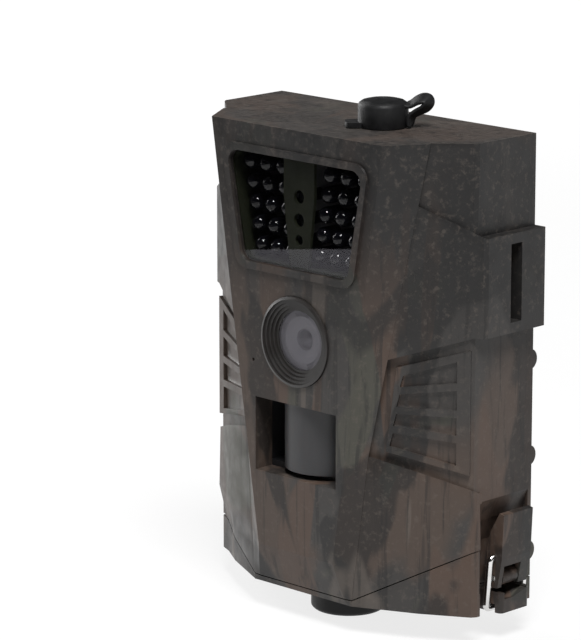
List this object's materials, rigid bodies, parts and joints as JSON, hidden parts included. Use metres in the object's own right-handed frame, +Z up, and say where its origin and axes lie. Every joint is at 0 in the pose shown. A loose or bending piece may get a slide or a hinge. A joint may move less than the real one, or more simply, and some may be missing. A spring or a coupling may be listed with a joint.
{
  "type": "trail camera",
  "caption": "Compact camouflaged trail camera with infrared flash window, motion sensor, strap ears, latched bottom door and tripod foot.",
  "frame": {"origin": "centre of the mouth of the tripod thread, on the underside of the foot", "axes": "+Z up, front of the camera faces -Y, +X to the viewer's right when looking at the front"},
  "size_m": [0.1037, 0.0466, 0.1471],
  "materials": {
    "camo_case": "satin moulded plastic with a printed woodland pattern",
    "seal_rubber": "matt",
    "black_rubber": "matt",
    "screw_steel": "blackened",
    "clear_pane": "clear, glossy",
    "olive_plastic": "semi-gloss",
    "black_board": "matt solder mask",
    "led_epoxy": "glossy dark epoxy",
    "dark_bezel": "satin",
    "lens_glass": "clear",
    "lens_grey": "satin grey",
    "black_plastic": "satin",
    "filter_glass": "coated",
    "green_board": "solder mask",
    "pir_plastic": "ribbed, translucent",
    "steel_can": "bright",
    "cell_wrap": "wrapped cell",
    "spring_steel": "plated",
    "display_glass": "glossy",
    "grey_button": "satin",
    "card_plastic": "satin",
    "bright_steel": "bright",
    "nut_brass": "turned"
  },
  "bodies": {
    "case": {"front_case": "camo_case", "rear_cover": "camo_case", "case_seal": "seal_rubber", "plug_tether": "black_rubber", "shell_screws": "screw_steel", "window_pane": "clear_pane", "window_bezel": "olive_plastic", "led_board": "black_board", "infrared_leds_left": "led_epoxy", "infrared_leds_right": "led_epoxy", "status_lights": "led_epoxy", "lens_bezel": "dark_bezel", "lens_cover": "lens_glass", "lens_barrel": "lens_grey", "lens_element": "lens_glass", "filter_frame": "black_plastic", "sensor_board": "green_board", "pir_lens": "pir_plastic", "pir_holder": "black_plastic", "pir_sensor": "steel_can", "microphone": "steel_can", "main_board": "green_board", "battery_tray": "black_plastic", "battery_cells": "cell_wrap", "contact_springs": "spring_steel", "control_panel": "black_plastic", "display": "display_glass", "sd_socket": "steel_can", "usb_socket": "steel_can", "hinge_pin": "bright_steel", "latch_pin": "bright_steel", "power_socket": "black_plastic"},
    "bottom_door": {"bottom_door": "camo_case", "door_seal": "seal_rubber", "contact_plates": "spring_steel", "tripod_foot": "black_rubber", "tripod_nut": "nut_brass"},
    "latch_lever": {"latch_lever": "camo_case"},
    "latch_bail": {"latch_bail": "bright_steel"},
    "top_plug": {"top_plug": "black_rubber"},
    "menu_button": {"menu_button": "grey_button"},
    "up_button": {"up_button": "grey_button"},
    "down_button": {"down_button": "grey_button"},
    "ok_button": {"ok_button": "grey_button"},
    "mode_switch": {"mode_switch": "grey_button"},
    "sd_card": {"sd_card": "card_plastic"},
    "ir_cut_filter": {"ir_cut_filter": "filter_glass"}
  },
  "joints": [
    {"name": "door_hinge", "type": "hinge", "parent": "case", "child": "bottom_door", "pos_m": [-0.0464, 0.0097, 0.0162], "axis": [0, 1, 0], "range_deg": [0, 90]},
    {"name": "latch_lever_pivot", "type": "hinge", "parent": "case", "child": "latch_lever", "pos_m": [0.0484, 0.01195, 0.017], "axis": [0, 1, 0], "range_deg": [0, 95]},
    {"name": "latch_bail_pivot", "type": "hinge", "parent": "latch_lever", "child": "latch_bail", "pos_m": [0.0486, 0.01195, 0.023], "axis": [0, 1, 0], "range_deg": [-90, 0]},
    {"name": "top_plug_lift", "type": "slide", "parent": "case", "child": "top_plug", "axis": [0, 0, 1], "range_m": [0, 0.008], "deforming": ["plug_tether"]},
    {"name": "mode_switch_slide", "type": "slide", "parent": "case", "child": "mode_switch", "axis": [1, 0, 0], "range_m": [-0.002, 0.002]},
    {"name": "sd_card_slide", "type": "slide", "parent": "case", "child": "sd_card", "axis": [0, 0, -1], "range_m": [0, 0.012]},
    {"name": "ir_cut_filter_slide", "type": "slide", "parent": "case", "child": "ir_cut_filter", "axis": [-1, 0, 0], "range_m": [0, 0.0067]},
    {"name": "menu_button_press", "type": "slide", "parent": "case", "child": "menu_button", "axis": [0, 0, 1], "range_m": [0, 0.0005], "stiffness_N_per_m": 200},
    {"name": "up_button_press", "type": "slide", "parent": "case", "child": "up_button", "axis": [0, 0, 1], "range_m": [0, 0.0005], "stiffness_N_per_m": 200},
    {"name": "down_button_press", "type": "slide", "parent": "case", "child": "down_button", "axis": [0, 0, 1], "range_m": [0, 0.0005], "stiffness_N_per_m": 200},
    {"name": "ok_button_press", "type": "slide", "parent": "case", "child": "ok_button", "axis": [0, 0, 1], "range_m": [0, 0.0005], "stiffness_N_per_m": 200}
  ],
  "couplings": [
    {"joint": "latch_bail_pivot", "follows": "latch_lever_pivot", "ratio": -0.7}
  ]
}
